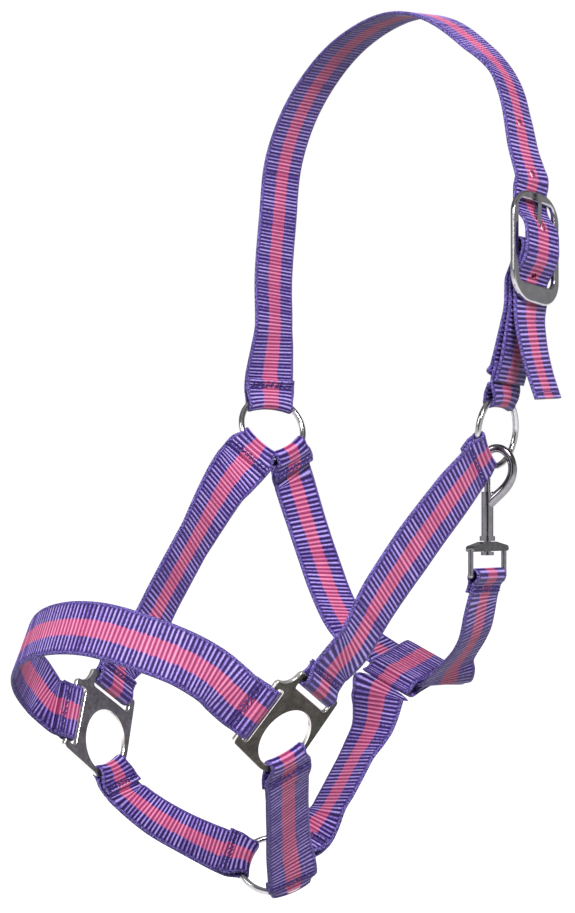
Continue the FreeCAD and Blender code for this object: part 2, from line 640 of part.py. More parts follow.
save("off_ring", ring(OFF_RING))
save("near_ring", ring(NEAR_RING))
save("chin_ring", ring(CHIN_RING))
save("off_plate", OFF_PLATE.place(plate()))
save("near_plate", NEAR_PLATE.place(plate()))
save("buckle_frame", buckle_frame())
save("buckle_tongue", buckle_tongue())
save("snap_hook", snap_body())
save("snap_bolt", snap_bolt())
save("snap_spring", snap_spring())
save("snap_eye", snap_eye())

save("crown_stitches", sewing(crown_hold))
save("cheek_stitches", sewing(off_cheek_top, off_cheek_foot, near_cheek_top, near_cheek_foot))
save("nose_stitches", sewing(off_nose_end, near_nose_end))
save("chin_stitches", sewing(off_chin_top, off_chin_foot, near_chin_top, near_chin_foot))
save("throat_stitches", sewing(throat_hold, eye_hold))
save("jowl_stitches", sewing(jowl_foot))
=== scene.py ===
import json
import math

import bpy
import numpy as np
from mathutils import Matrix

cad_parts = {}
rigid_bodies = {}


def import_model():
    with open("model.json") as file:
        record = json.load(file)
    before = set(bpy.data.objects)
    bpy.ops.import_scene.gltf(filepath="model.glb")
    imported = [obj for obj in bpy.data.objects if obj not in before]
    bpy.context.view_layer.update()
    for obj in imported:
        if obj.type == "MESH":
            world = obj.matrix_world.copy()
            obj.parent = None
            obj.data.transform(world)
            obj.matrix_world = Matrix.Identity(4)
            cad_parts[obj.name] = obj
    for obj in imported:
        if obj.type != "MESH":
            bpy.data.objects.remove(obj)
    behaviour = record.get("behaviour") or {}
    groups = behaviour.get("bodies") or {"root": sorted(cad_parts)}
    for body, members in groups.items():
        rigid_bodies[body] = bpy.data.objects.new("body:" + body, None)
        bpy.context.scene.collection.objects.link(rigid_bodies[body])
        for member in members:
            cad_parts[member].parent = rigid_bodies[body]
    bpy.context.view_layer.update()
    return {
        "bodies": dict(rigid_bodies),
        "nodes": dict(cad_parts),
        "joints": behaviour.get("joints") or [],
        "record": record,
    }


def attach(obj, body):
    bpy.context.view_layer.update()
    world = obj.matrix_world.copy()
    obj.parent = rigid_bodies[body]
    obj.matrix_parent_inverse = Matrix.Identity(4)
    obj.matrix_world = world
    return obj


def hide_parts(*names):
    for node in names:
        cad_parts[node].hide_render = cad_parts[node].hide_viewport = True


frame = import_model()

# The straps are worked out in millimetres and made in metres. These sizes, the frames and the
# routes repeat the part's own, so that the ribbed webbing lies where the plain solids do.
WEB_W = 30.0            # webbing width
WEB_T = 2.2             # webbing thickness
LAY_GAP = 0.3           # air between two layers of webbing
FIT = 0.35              # air between webbing and metal
RING_R = 19.0           # ring, to the middle of its wire
RING_WIRE = 1.7         # radius of the ring's wire
PLATE_T = 2.8           # plate thickness
PLATE_HOLE_R = 16.5     # round hole of the plate
PLATE_RIM_R = 20.3      # outside of the rim below that hole
PLATE_EDGE = 0.9        # rounding of the plate's edges
SLOT_ANGLE = 42.0       # each slot's normal, above the plate's side axis
SLOT_NEAR = 23.3        # from the plate's centre to the slot's near edge
SLOT_WIDTH = 5.0
SLOT_SHIFT = -4.5       # the slot's middle, along the slot
PLATE_BAR = 4.0         # metal outside each slot
BUCKLE_BAR_R = 2.0      # centre bar
BUCKLE_BAR_OUT = -1.0   # the centre bar sits a little behind the frame
HOLE_R = 2.1            # punched hole in the crown strap
HOLE_PITCH = 30.0
EYE_BAR_R = 1.6
EYE_BAR_UP = -21.0      # the snap eye's lower bar, below the shaft
LOOP_ROOM = 1.8         # air round the throat strap in the jowl strap's loop
SEWN_PAST = 3.2         # from the metal's clearance to where a fold is sewn

HALF_W = WEB_W / 2
HALF_T = WEB_T / 2
LAY = (WEB_T + LAY_GAP) / 2     # a doubled strap's layers lie this far from its middle

# These belong to the visual model alone.
STEP = 9.0              # spacing of the rows that a route is first given
FINE = 0.35             # spacing of the mesh along a strap
RIB = 2.5               # usual spacing of the webbing's ribs
RIB_HEIGHT = 0.42
STRIPE = 4.7            # half width of the pink stripe
SELVEDGE = 0.88         # where the knitted edge starts, as a share of the half width
ROUNDED = 0.92          # where the edge starts to round over
SPECKLED = (13.1, 13.6)     # from the middle: where the edge's colour starts, and is full
TONGUE_HOLE = (4.9, 2.4)    # crown strap's hole round the tongue: half length, half width
BAR_SLOT = (13.0, 2.8)      # buckle strap's slot round the tongue's root: the same
SNUG = 0.12             # air between a fold and the metal in it
FOLLOW = 0.45           # how far a fold takes up the bend of the wire it lies round
RING_GRIP = 12.4        # half width of the webbing where it lies round a ring
CROWN_GRIP = 15.0       # the same for the crown strap, which the ring hardly gathers
RIM_GRIP = 12.2         # the same round the rim of a plate
STITCH_ROWS = (0.6, 1.9, 3.4)   # past the place where a fold is sewn
STITCH_COUNT = 9
STITCH_PITCH = 2.9
STITCH_HALF = 1.15      # half a stitch's length
STITCH_R = 0.36
TAIL_STITCH_IN = 3.6    # from the crown strap's free end to its row of stitches
TAIL_STITCH_PITCH = 3.0
TAIL_STITCH_R = 0.34


# ---- Frames ----
def vec(*c):
    return np.array(c, float)


def unit(v):
    return v / np.linalg.norm(v)


def across(v, n):
    """The part of v square to the unit vector n, made a unit vector."""
    return unit(v - n * np.dot(v, n))


def ease(t):
    return t * t * (3 - 2 * t)


class Frame:
    """A local frame: side, up and out (the normal that points away from the horse)."""

    def __init__(self, origin, out, up):
        self.origin = vec(*origin)
        self.out = unit(vec(*out))
        self.up = across(vec(*up), self.out)
        self.side = np.cross(self.up, self.out)

    def at(self, side, up, out=0.0):
        return self.origin + self.side * side + self.up * up + self.out * out


OFF_RING = Frame((-86.2, -20, -228.8), (-0.86, 0.30, -0.41), (0, 0, 1))
NEAR_RING = Frame((85.5, -20, -231.5), (0.96, 0.17, -0.10), (0, 0, 1))
CHIN_RING = Frame((0, -103.5, -465), (-0.495, 0.495, -0.71), (0, 0, 1))
OFF_PLATE = Frame((-68.5, -165.8, -398.5), (-0.98, -0.17, -0.10), (-0.04, -0.32, 0.95))
NEAR_PLATE = Frame((68.5, -165.5, -389.6), (0.88, -0.04, -0.47), (0.44, -0.32, 0.84))
BUCKLE = Frame((102.0, -8, -133), (0.989, 0.097, 0.106), (-0.12, 0.13, 0.984))
EYE = Frame((76.3, -17.5, -288.0), (0.98, 0.19, 0), (0, 0, 1))
LOOP_MID = vec(1.5, 1, -362.8)      # where the throat strap runs through the jowl strap
LOOP_HEADING = unit(vec(0.86, 0.25, -0.43))
LOOP_NORMAL = across(vec(-0.5, 0.18, -0.85), LOOP_HEADING)


# ---- Folds ----
class Hold:
    """What a strap is folded round: a wire, a rim or a bar, seen in section.

    The section is long along flat (half size long_half) and short_half the other way, with
    round corners. The strap leaves along lead. p is measured that way from the section's
    middle and q along the outward normal. grip is the webbing's half width where it lies
    round the metal. A wire or rim bends about hub at the radius arc, and radial points from
    hub to the fold; a bar has no arc."""

    def __init__(self, centre, width, lead, flat, long_half, short_half, corner,
                 sag=0.0, tail=5.0, hub=None, radial=None, arc=None, grip=HALF_W):
        self.centre = centre
        self.width = unit(width)
        self.out_dir = across(lead, self.width)
        self.normal = np.cross(self.out_dir, self.width)
        along = abs(np.dot(self.out_dir, unit(flat)))
        aslant = math.sqrt(max(0.0, 1 - along ** 2))
        short = (short_half - corner) * along + (long_half - corner) * aslant + corner
        long = (long_half - corner) * along + (short_half - corner) * aslant + corner
        self.bend = -max(0.0, long - short)
        self.turn = short + SNUG + HALF_T
        self.sewn = long + along * sag / 2 + FIT + SEWN_PAST
        self.tail = self.sewn + tail
        self.hub = hub
        self.radial = radial
        self.arc = arc
        self.grip = grip

    def point(self, p, q, w=0.0):
        return self.centre + self.out_dir * p + self.normal * q + self.width * w

    def wire(self, w):
        """(p, q, sideways) of the fold's middle for a thread w across the strap, -1 to 1."""
        x = w * self.grip
        if self.arc is None:
            return 0.0, 0.0, x
        turned = x / self.arc
        # The webbing is stiff, so its fold takes up the wire's bend only in part.
        drop = self.arc * (math.cos(turned) - math.cos(self.grip / self.arc))
        radius = self.arc * math.cos(turned) - (1 - FOLLOW) * drop
        d = self.hub + self.radial * radius + self.width * (self.arc * math.sin(turned)) - self.centre
        return np.dot(d, self.out_dir), np.dot(d, self.normal), np.dot(d, self.width)

    def thread(self, w):
        """(p, q, sideways) along one thread, from beyond the tail, round the metal, to the
        tail's cut end."""
        steps = 9       # from where it is sewn to the metal
        arcs = 12       # round the metal
        p0, q0, x0 = self.wire(w)
        wide = w * HALF_W
        bend = p0 + self.bend
        line = [(self.tail + 0.5, LAY, wide)]
        for k in range(steps + 1):
            t = k / steps
            opened = ease(min(1.0, t * 1.35))       # the layers part before the edges draw in
            line.append((self.sewn + (bend - self.sewn) * t,
                         LAY + (q0 + self.turn - LAY) * opened, wide + (x0 - wide) * ease(t)))
        back = [(p, 2 * q0 * min(1.0, (self.sewn - p) / (self.sewn - bend)) - q, x)
                for p, q, x in reversed(line[1:])]
        for k in range(1, arcs):
            turned = math.pi * (0.5 + k / arcs)
            line.append((bend + self.turn * math.cos(turned), q0 + self.turn * math.sin(turned), x0))
        return line + back + [(self.tail, -LAY, wide)]

    def fold(self, leaving, cols):
        """Rows of points across the strap, from its body to the cut end of its tail."""
        hand = 1 if leaving else -1
        threads = [[self.point(p, q, x) for p, q, x in self.thread(w * hand)] for w in cols]
        return np.array(threads).transpose(1, 0, 2)


def ring_hold(frame, towards, radial=None, fold_half=9.0, tail=5.0, grip=RING_GRIP):
    """A fold round a ring's wire, led towards a point."""
    radial = across(radial if radial is not None else towards - frame.origin, frame.out)
    sag = RING_R - math.sqrt(RING_R ** 2 - fold_half ** 2)
    centre = frame.origin + radial * (RING_R - sag / 2)
    return Hold(centre, np.cross(frame.out, radial), towards - centre, radial, RING_WIRE, RING_WIRE,
                RING_WIRE, sag + 1.1, tail, frame.origin, radial, RING_R, grip)


def rim_hold(frame, towards, fold_half=9.0):
    """A fold round the rim below a plate's round hole."""
    radial = across(towards - frame.origin, frame.out)
    middle = (PLATE_HOLE_R + PLATE_RIM_R) / 2
    sag = PLATE_HOLE_R - math.sqrt(PLATE_HOLE_R ** 2 - fold_half ** 2)
    centre = frame.origin + radial * (middle - sag / 2)
    return Hold(centre, np.cross(frame.out, radial), towards - centre, radial,
                (PLATE_RIM_R - PLATE_HOLE_R) / 2, PLATE_T / 2, PLATE_EDGE, sag + 0.5,
                hub=frame.origin, radial=radial, arc=middle, grip=RIM_GRIP)


def slot_hold(frame, hand, towards):
    """A fold round a plate's slot bar. hand +1 is the slot on the frame's side axis."""
    turned = math.radians(SLOT_ANGLE)
    flat = frame.side * (hand * math.cos(turned)) + frame.up * math.sin(turned)
    width = np.cross(frame.out, flat)
    along = width if np.dot(width, frame.up) < 0 else -width
    centre = frame.origin + along * SLOT_SHIFT + flat * (SLOT_NEAR + SLOT_WIDTH + PLATE_BAR / 2)
    return Hold(centre, width, towards - centre, flat, PLATE_BAR / 2, PLATE_T / 2, PLATE_EDGE)


# ---- Routes ----
def stations(*rows):
    """Places that a strap's middle passes, each with the strap's outward normal."""
    return [(vec(*point), vec(*normal)) for point, normal in rows]


crown_route = stations(
    ((-89.2, -16, -172), (-1, 0, 0)),
    ((-92, -13.4, -144), (-1, 0, 0)),
    ((-92, -10, -110), (-1, 0, 0.05)),
    ((-90, -7, -76), (-0.97, 0, 0.2)),
    ((-77.4, -4.3, -46), (-0.8, 0, 0.6)),
    ((-54, -2, -20), (-0.55, 0, 0.83)),
    ((-28, -0.5, -5), (-0.25, 0, 0.97)),
    ((0, 0, 1.1), (0, 0, 1)),
    ((27, 0, -4.5), (0.25, 0, 0.97)),
    ((56.4, 0, -23), (0.6, 0.05, 0.8)),
    ((74.5, -1, -39), (0.82, 0.2, 0.5)),
    ((83, -2, -57), (0.9, 0.22, 0.35)),
    ((89.5, -3, -79), (0.97, 0.15, 0.15)))
# Through the buckle: (up, out) in the buckle's frame.
crown_in_buckle = [(38, -1.8), (33, -2.9), (28, -3.1), (23, -2.8), (18, -0.6), (13, 3.2), (8.5, 4.8),
                   (3, 5.0), (-3, 4.9), (-8.5, 3.2), (-13, 0.0), (-17.5, -2.9), (-22, -3.1), (-29, -3.1)]
crown_tail = stations(
    ((102.1, -12.2, -172), (0.97, 0.15, 0.18)),
    ((104.2, -11, -188), (0.95, 0.2, 0.23)),
    ((107.2, -9.5, -201), (0.94, 0.22, 0.26)),
    ((111.5, -8, -214), (0.93, 0.22, 0.28)))
# The buckle strap's layers, the same way: outer from the ring to the bar, inner back again.
billet_outer = [(-33, -6.7), (-27, -6.1), (-22, -5.9), (-17.5, -5.7), (-13, -3.2), (-8.5, 0.1), (-3, 2.2)]
billet_inner = [(-3, -4.45), (-8.5, -4.7), (-13, -6.5), (-17.5, -8.6), (-22, -9.0), (-27, -9.1), (-33, -9.6)]
off_cheek_route = stations(
    ((-83, -60, -260), (-0.96, 0.0, -0.2)),
    ((-80, -87.3, -291), (-0.97, -0.17, 0.05)),
    ((-77, -112, -320), (-0.97, -0.17, 0.05)),
    ((-75.2, -132, -345.5), (-0.98, -0.15, 0)))
near_cheek_route = stations(
    ((87.3, -57.8, -266), (0.99, 0.1, 0)),
    ((87.6, -88, -293), (1, 0, 0)),
    ((88.6, -117, -321), (0.98, 0, -0.1)),
    ((88.4, -134, -342.5), (0.94, 0, -0.28)))
nose_route = stations(
    ((-67.6, -214.3, -366.8), (-0.94, -0.2, 0.13)),
    ((-58, -231, -357), (-0.82, -0.48, 0.28)),
    ((-42, -247.3, -346), (-0.5, -0.75, 0.4)),
    ((-22, -255.9, -337), (-0.15, -0.88, 0.45)),
    ((2, -258.7, -332.5), (0, -0.89, 0.45)),
    ((24, -254, -333), (0.15, -0.87, 0.45)),
    ((45, -243, -339.2), (0.45, -0.8, 0.4)),
    ((60, -228.5, -347.2), (0.75, -0.55, 0.28)),
    ((67.2, -213, -357.3), (0.9, -0.38, 0.06)))
off_chin_route = stations(
    ((-57, -156.4, -429), (-0.69, 0.08, -0.7)),
    ((-46.5, -148, -439), (-0.68, 0.18, -0.7)),
    ((-35, -137, -448), (-0.66, 0.25, -0.71)))
near_chin_route = stations(
    ((53, -147, -418), (0.85, 0.07, -0.5)),
    ((40.5, -134.5, -434), (0.84, 0.1, -0.5)),
    ((27, -120, -455), (0.82, 0.05, -0.55)))
jowl_route = stations(
    ((3, -66, -437), (0.1, 0.75, -0.66)),
    ((2.5, -44, -411), (0.1, 0.78, -0.62)),
    ((2.5, -30, -394), (-0.1, 0.74, -0.66)))
throat_route = stations(
    ((-83, -5.5, -259.8), (-0.93, 0.15, -0.33)),
    ((-77, -1.9, -282), (-0.9, 0.1, -0.4)),
    ((-68, -0.5, -304), (-0.88, 0.1, -0.47)),
    ((-54, -3.5, -325), (-0.8, 0.1, -0.6)),
    ((-35, -7.5, -343), (-0.68, 0.16, -0.72)))
throat_route += [(LOOP_MID + LOOP_HEADING * d, LOOP_NORMAL) for d in (-20, -13, 13, 17)]
throat_route += stations(
    ((30, 0.5, -369.5), (-0.2, 0.15, -0.96)),
    ((41, -7.5, -361), (0.5, 0.12, -0.86)),
    ((54, -11, -351), (0.83, 0.12, -0.55)),
    ((64, -14, -341), (0.92, 0.15, -0.36)))


# ---- Where each strap is held ----
crown_hold = ring_hold(OFF_RING, crown_route[0][0], grip=CROWN_GRIP)
off_cheek_top = ring_hold(OFF_RING, off_cheek_route[0][0])
throat_hold = ring_hold(OFF_RING, throat_route[0][0])
near_cheek_top = ring_hold(NEAR_RING, near_cheek_route[0][0])
billet_hold = ring_hold(NEAR_RING, BUCKLE.at(0, -33, -7.3), tail=12.0)
off_cheek_foot = slot_hold(OFF_PLATE, -1, off_cheek_route[-1][0])
near_cheek_foot = slot_hold(NEAR_PLATE, 1, near_cheek_route[-1][0])
off_nose_end = slot_hold(OFF_PLATE, 1, nose_route[0][0])
near_nose_end = slot_hold(NEAR_PLATE, -1, nose_route[-1][0])
off_chin_top = rim_hold(OFF_PLATE, off_chin_route[0][0])
near_chin_top = rim_hold(NEAR_PLATE, near_chin_route[0][0])
off_chin_foot = ring_hold(CHIN_RING, off_chin_route[-1][0])
near_chin_foot = ring_hold(CHIN_RING, near_chin_route[-1][0],
                           CHIN_RING.side * -0.5 - CHIN_RING.up * 0.87, fold_half=8.0)
jowl_foot = ring_hold(CHIN_RING, jowl_route[0][0])
eye_at = EYE.at(0, EYE_BAR_UP)
eye_hold = Hold(eye_at, EYE.side, throat_route[-1][0] - eye_at, EYE.up, EYE_BAR_R, EYE_BAR_R,
                EYE_BAR_R)


# ---- Rows of points across each strap ----
def curve(route, leave, arrive, cols):
    """Rows of points across the strap, along a smooth curve through the stations."""
    points = [point for point, normal in route]
    lengths = [np.linalg.norm(b - a) for a, b in zip(points, points[1:])]
    slopes = [unit(leave)]
    for i in range(1, len(points) - 1):
        slopes.append((points[i + 1] - points[i - 1]) / (lengths[i - 1] + lengths[i]))
    slopes.append(unit(arrive))
    rows = []
    for i, length in enumerate(lengths):
        count = max(2, round(length / STEP))
        for k in range(count + (i == len(lengths) - 1)):
            t = k / count
            s = 1 - t
            point = (points[i] * (s * s * (1 + 2 * t)) + points[i + 1] * (t * t * (3 - 2 * t))
                     + slopes[i] * (length * s * s * t) - slopes[i + 1] * (length * t * t * s))
            heading = ((points[i + 1] - points[i]) * (6 * s * t) + slopes[i] * (length * s * (1 - 3 * t))
                       - slopes[i + 1] * (length * t * (2 - 3 * t)))
            normal = route[i][1] * s + route[i + 1][1] * t
            rows.append(row_across(point, unit(np.cross(normal, heading)), cols))
    return np.array(rows)


def row_across(point, width, cols):
    return [point + width * (w * HALF_W) for w in cols]


def middle_of(row):
    return row[len(row) // 2]


def between(start, route, end, cols):
    """Rows of a strap from one hold to another, with the given stations between them."""
    first = start.fold(True, cols)
    final = end.fold(False, cols)
    route = [(middle_of(first[0]), start.normal)] + route + [(middle_of(final[0]), end.normal)]
    body = curve(route, start.out_dir, end.out_dir * -1, cols)
    return np.concatenate([first[:0:-1], body, final[1:]])


def crown_rows(cols):
    """From the off-side ring over the poll and through the buckle to the free end."""
    first = crown_hold.fold(True, cols)
    route = [(middle_of(first[0]), crown_hold.normal)] + crown_route
    route += [(BUCKLE.at(0, up, out), BUCKLE.out) for up, out in crown_in_buckle] + crown_tail
    end = route[-1][0] - route[-2][0]
    return np.concatenate([first[:0:-1], curve(route, crown_hold.out_dir, end, cols)])


def billet_rows(cols):
    """Two layers between the buckle's centre bar and the ring; the ring loop's tail is sewn
    between them."""
    ring = billet_hold
    bar_turn = BUCKLE_BAR_R + FIT + HALF_T
    outer_q = 2 * LAY
    outer = [(ring.point(9, outer_q), ring.normal), (ring.point(22, outer_q), ring.normal)]
    outer += [(BUCKLE.at(0, up, out), BUCKLE.out) for up, out in billet_outer]
    outer.append((BUCKLE.at(0, 0, BUCKLE_BAR_OUT + bar_turn), BUCKLE.out))
    rows = list(curve(outer, ring.out_dir, BUCKLE.up, cols))
    width = np.cross(BUCKLE.out, BUCKLE.up)
    for i in range(1, 8):
        turned = math.pi * i / 8
        point = BUCKLE.at(0, bar_turn * math.sin(turned), BUCKLE_BAR_OUT + bar_turn * math.cos(turned))
        rows.append(row_across(point, width, cols))
    inner = [(BUCKLE.at(0, 0, BUCKLE_BAR_OUT - bar_turn), -BUCKLE.out)]
    inner += [(BUCKLE.at(0, up, out), -BUCKLE.out) for up, out in billet_inner]
    inner += [(ring.point(22, -outer_q), -ring.normal), (ring.point(12, -outer_q), -ring.normal)]
    rows += list(curve(inner, -BUCKLE.up, -ring.out_dir, cols))
    # Round the ring from the inner side outwards, which is the usual fold seen in a mirror.
    for row in ring.fold(True, cols)[1:-3, ::-1]:
        rows.append([point - ring.normal * (2 * np.dot(point - ring.centre, ring.normal)) for point in row])
    for p in (ring.sewn + 2.5, ring.sewn + 7, ring.tail):
        rows.append(row_across(ring.point(p, 0.0), -ring.width, cols))
    return np.array(rows)


def jowl_rows(cols):
    """From the chin ring up to the loop round the throat strap."""
    first = jowl_foot.fold(True, cols)
    lead = np.cross(LOOP_NORMAL, LOOP_HEADING)
    turn = WEB_T + LOOP_ROOM
    loop = [(26.5, LAY), (21.0, LAY), (18.0, turn), (9.0, turn), (0.0, turn), (-8.0, turn)]
    for i in range(9):
        turned = math.radians(90 + 180 * i / 8)
        loop.append((-15.0 + turn * math.cos(turned), turn * math.sin(turned)))
    loop += [(-8.0, -turn), (0.0, -turn), (9.0, -turn), (18.0, -turn), (21.0, -LAY), (26.0, -LAY)]
    centres = [LOOP_MID + lead * p + LOOP_NORMAL * q for p, q in loop]
    rows = [row_across(centre, -LOOP_HEADING, cols) for centre in centres]
    route = [(middle_of(first[0]), jowl_foot.normal)] + jowl_route + [(centres[0], LOOP_NORMAL)]
    body = curve(route, jowl_foot.out_dir, -lead, cols)
    return np.concatenate([first[:0:-1], body, np.array(rows[1:])])


# ---- Webbing mesh ----
def resample(rows, step):
    """Evenly spaced rows on a smooth curve through the given rows, and where each one is
    along the strap."""
    middle = rows[:, rows.shape[1] // 2]
    knots = np.concatenate([[0], np.cumsum(np.linalg.norm(np.diff(middle, axis=0), axis=1))])
    slopes = np.gradient(rows, knots, axis=0)
    length = knots[-1]
    at = np.linspace(0, length, int(length / step) + 1)
    i = np.clip(np.searchsorted(knots, at, side="right") - 1, 0, len(knots) - 2)
    h = knots[i + 1] - knots[i]
    t = ((at - knots[i]) / h)[:, None, None]
    h = h[:, None, None]
    out = (rows[i] * (1 + 2 * t) * (1 - t) ** 2 + slopes[i] * h * t * (1 - t) ** 2
           + rows[i + 1] * t * t * (3 - 2 * t) + slopes[i + 1] * h * t * t * (t - 1))
    return out, at


def unit_rows(vectors):
    return vectors / np.linalg.norm(vectors, axis=2, keepdims=True)


def columns(count):
    """Threads across a strap, as shares of its half width, with more of them at the edges."""
    middle = np.linspace(-0.9, 0.9, count)
    edge = np.array([0.95, 0.98, 1.0])
    return np.concatenate([-edge[::-1], middle, edge])


def face_normals(grid):
    """The band's normals, smoothed along it so that tight folds don't crease."""
    normals = unit_rows(np.cross(np.gradient(grid, axis=0), np.gradient(grid, axis=1)))
    for _ in range(6):
        normals[1:-1] = (normals[:-2] + 2 * normals[1:-1] + normals[2:]) / 4
    return unit_rows(normals)


def rib_count(at, ribs, rng):
    """How many ribs have passed at each row, and how strong each rib is, both a little uneven."""
    spacing = np.interp(at, (0, at[-1]), ribs)
    passed = np.concatenate([[0], np.cumsum(np.diff(at) / spacing[1:])])
    count = int(passed[-1]) + 3
    jitter = rng.normal(0, 0.05, count)
    strength = 1 + rng.normal(0, 0.08, count)
    return passed + np.interp(passed, np.arange(count), jitter), strength


def ribbed_faces(grid, at, cols, ribs, rng):
    """The points of the band's two faces, and how high each point stands on its rib."""
    normals = face_normals(grid)
    share = np.abs(cols)
    rounding = np.clip((share - ROUNDED) / (1.002 - ROUNDED), 0, 1)
    thinned = np.maximum(np.sqrt(1 - rounding ** 2), 0.12)
    selvedge = np.clip((share - SELVEDGE) / 0.05, 0, 1)
    passed, strength = rib_count(at, ribs, rng)
    faces = []
    heights = []
    for side in (1, -1):
        # The ribs of one face lie between those of the other, and the selvedge has twice as many.
        phase = passed + (0 if side > 0 else 0.5)
        crest = (0.5 - 0.5 * np.cos(2 * np.pi * phase)) ** 0.75
        knit = 0.5 - 0.5 * np.cos(4 * np.pi * phase + 1.2)
        power = np.interp(phase, np.arange(len(strength)) + 0.5, strength)
        height = crest[:, None] * power[:, None] * (1 - selvedge) + knit[:, None] * 0.55 * selvedge
        offset = (HALF_T - RIB_HEIGHT + RIB_HEIGHT * np.clip(height, 0, 1.15)) * thinned
        faces.append(grid + normals * (side * offset)[:, :, None])
        heights.append(np.clip(height, 0, 1.2))
    return faces, heights


def cut_out(grid, at, spread, hole):
    """For a round or long hole (along, half length, half width): how far each point moves so
    that none is left inside, and which squares of the grid stay."""
    along, half_length, half_width = hole
    straight = max(0.0, half_length - half_width)
    x, y = np.meshgrid(spread, at - along)
    from_line = y - np.clip(y, -straight, straight)
    reach = np.hypot(x, from_line)
    pushed = np.where((reach < half_width) & (reach > 1e-6), half_width / np.maximum(reach, 1e-6) - 1, 0.0)
    sideways = unit_rows(np.gradient(grid, axis=1)) * (x * pushed)[:, :, None]
    forward = unit_rows(np.gradient(grid, axis=0)) * (from_line * pushed)[:, :, None]
    x, y = np.meshgrid((spread[:-1] + spread[1:]) / 2, (at[:-1] + at[1:]) / 2 - along)
    # A square goes when its middle lies inside the rim, which the moved points follow.
    stays = np.hypot(x, y - np.clip(y, -straight, straight)) >= half_width * 0.93
    return sideways + forward, stays


def band_quads(keep):
    """The faces, edges and ends of the band, and the walls of its cut-outs. keep says which
    squares of the grid are there; the far face's points follow the near face's."""
    rows, gaps = keep.shape
    m = gaps + 1
    far = (rows + 1) * m
    i, j = np.nonzero(keep)
    a = i * m + j
    left = np.arange(rows) * m
    right = left + m - 1
    start = np.arange(m - 1)
    end = start + rows * m
    quads = [(a, a + m, a + m + 1, a + 1),
             (a + far, a + 1 + far, a + m + 1 + far, a + m + far),
             (left, left + far, left + m + far, left + m),
             (right, right + m, right + m + far, right + far),
             (start, start + 1, start + 1 + far, start + far),
             (end, end + far, end + 1 + far, end + 1)]
    # Each wall stands on an edge between a square that is gone and one that is there.
    for step, first, second in (((-1, 0), (0, 0), (0, 1)), ((1, 0), (1, 1), (1, 0)),
                                ((0, -1), (1, 0), (0, 0)), ((0, 1), (0, 1), (1, 1))):
        beside = np.roll(keep, (-step[0], -step[1]), axis=(0, 1))
        i, j = np.nonzero(~keep & beside)
        s = (i + first[0]) * m + j + first[1]
        e = (i + second[0]) * m + j + second[1]
        quads.append((s, e, e + far, s + far))
    return np.concatenate([np.stack(quad, axis=1) for quad in quads])


def smooth_object(name, points, faces, mat):
    """A smoothly shaded object, from points in millimetres."""
    mesh = bpy.data.meshes.new(name)
    mesh.from_pydata((np.array(points) / 1000).tolist(), [], faces)
    mesh.polygons.foreach_set("use_smooth", np.ones(len(mesh.polygons), bool))
    mesh.materials.append(mat)
    obj = bpy.data.objects.new(name, mesh)
    bpy.context.scene.collection.objects.link(obj)
    return obj


def webbing(name, rows, cols, node, holes=(), seed=1, ribs=(RIB, RIB)):
    """A ribbed band over the rows, in place of a CAD node. holes: (along, half length, half
    width) of cut-outs; ribs: their spacing at the strap's start and end."""
    grid, at = resample(rows, FINE * (1))
    spread = cols * HALF_W
    faces, heights = ribbed_faces(grid, at, cols, ribs, np.random.default_rng(seed))
    keep = np.ones((len(at) - 1, len(cols) - 1), bool)
    for hole in holes:
        moved, stays = cut_out(grid, at, spread, hole)
        faces = [face + moved for face in faces]
        keep &= stays
    points = np.concatenate([face.reshape(-1, 3) for face in faces])
    obj = smooth_object(name, points, band_quads(keep).tolist(), webbing_material)
    # The material reads these: across the strap, along it, and up the rib.
    x, y = np.meshgrid(spread, at)
    for label, data in (("spread", np.tile(x.ravel(), 2)), ("along", np.tile(y.ravel(), 2)),
                        ("rib", np.concatenate([height.ravel() for height in heights]))):
        attribute = obj.data.attributes.new(label, "FLOAT", "POINT")
        attribute.data.foreach_set("value", data.astype(np.float32))
    obj.data.update()
    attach(obj, "halter")
    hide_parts(node)


# ---- Materials ----
def material(name):
    mat = bpy.data.materials.new(name)
    mat.use_nodes = True
    nodes = mat.node_tree.nodes
    nodes.clear()
    out = nodes.new("ShaderNodeOutputMaterial")
    shader = nodes.new("ShaderNodeBsdfPrincipled")
    mat.node_tree.links.new(shader.outputs[0], out.inputs[0])
    return mat, shader


def colour(hex_code):
    parts = [int(hex_code[i:i + 2], 16) / 255 for i in (0, 2, 4)]
    return tuple(c / 12.92 if c <= 0.04045 else ((c + 0.055) / 1.055) ** 2.4 for c in parts) + (1.0,)


